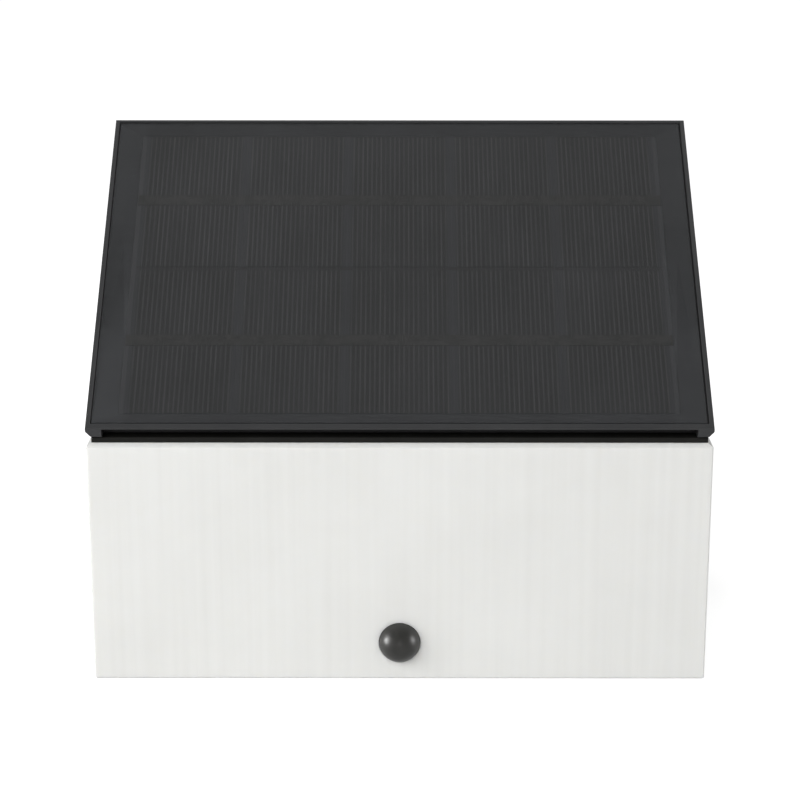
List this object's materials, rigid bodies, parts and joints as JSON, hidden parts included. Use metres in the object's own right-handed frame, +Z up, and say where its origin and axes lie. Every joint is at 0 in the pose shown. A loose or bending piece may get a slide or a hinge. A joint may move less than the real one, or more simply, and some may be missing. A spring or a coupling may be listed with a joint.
{
  "type": "solar fence light",
  "caption": "Wedge-roofed solar fence light: a sloping panel over an opal box with a motion sensor dome, hung on a wall bracket",
  "frame": {"origin": "on the wall plane, midway between the bracket's two screw holes", "axes": "+X to the right along the lamp, +Y into the wall, +Z up; the lamp stands out towards -Y"},
  "size_m": [0.178, 0.0965, 0.1498],
  "materials": {
    "black_shell": "fine satin moulded black",
    "opal_shell": "opal white, softly glowing through",
    "panel_clear": "clear matt laminate over the cells",
    "panel_black": "black laminate board",
    "cell_silicon": "dark silicon with fine fingers",
    "dark_ribbon": "blackened tinned copper",
    "adhesive": "foam bonding tape",
    "dome_tint": "glossy charcoal sensor dome",
    "bracket_steel": "black powder coat",
    "steel_screw": "zinc plated",
    "seal_rubber": "soft grey seal rubber",
    "white_plastic": "bright white reflector",
    "board_white": "white solder mask on aluminium",
    "board_green": "green solder mask",
    "led_phosphor": "yellow phosphor",
    "chip_black": "moulded chip",
    "capacitor_can": "bare can",
    "inductor_ferrite": "dark ferrite",
    "connector_ivory": "ivory nylon",
    "battery_wrap": "plain blue shrink wrap",
    "tray_black": "matt black",
    "contact_metal": "nickel plated spring sheet",
    "sensor_can": "metal can",
    "button_rubber": "dark grey soft button",
    "clip_steel": "spring steel",
    "switch_black": "matt black",
    "lead_sheath": "soft black sheath"
  },
  "bodies": {
    "bracket": {"wall_bracket": "bracket_steel"},
    "battery_door": {"battery_door": "black_shell", "battery_door_seal": "seal_rubber", "battery_door_screws": "steel_screw"},
    "button": {"power_button": "button_rubber", "button_clip": "clip_steel", "switch_stem": "switch_black"},
    "lamp": {"chassis": "black_shell", "hood": "black_shell", "diffuser": "opal_shell", "hood_seal": "seal_rubber", "diffuser_seal": "seal_rubber", "case_screws": "steel_screw", "hood_screws": "steel_screw", "panel_adhesive": "adhesive", "panel_backboard": "panel_black", "solar_cells": "cell_silicon", "bus_ribbons": "dark_ribbon", "panel_cover": "panel_clear", "reflector": "white_plastic", "reflector_screws": "steel_screw", "led_board": "board_white", "leds": "led_phosphor", "led_board_screws": "steel_screw", "led_connector": "connector_ivory", "main_board": "board_green", "main_board_screws": "steel_screw", "charge_chips": "chip_black", "capacitors": "capacitor_can", "inductor": "inductor_ferrite", "board_connectors": "connector_ivory", "battery_cell": "battery_wrap", "battery_tray": "tray_black", "battery_contacts": "contact_metal", "pir_lens": "dome_tint", "pir_holder": "tray_black", "pir_holder_screws": "steel_screw", "pir_sensor": "sensor_can", "pir_board": "board_green", "pir_grommet": "seal_rubber", "tact_switch": "switch_black", "lead_grommet": "seal_rubber", "panel_lead": "lead_sheath", "battery_lead": "lead_sheath", "led_lead": "lead_sheath", "pir_lead": "lead_sheath"}
  },
  "joints": [
    {"name": "lamp_lift", "type": "slide", "parent": "bracket", "child": "lamp", "axis": [0, 0, 1], "range_m": [0, 0.01]},
    {"name": "battery_door_off", "type": "slide", "parent": "lamp", "child": "battery_door", "axis": [0, 1, 0], "range_m": [0, 0.03]},
    {"name": "button_press", "type": "slide", "parent": "lamp", "child": "button", "axis": [0, 0, 1], "range_m": [0, 0.0008], "stiffness_N_per_m": 800, "springref_m": -0.001}
  ]
}
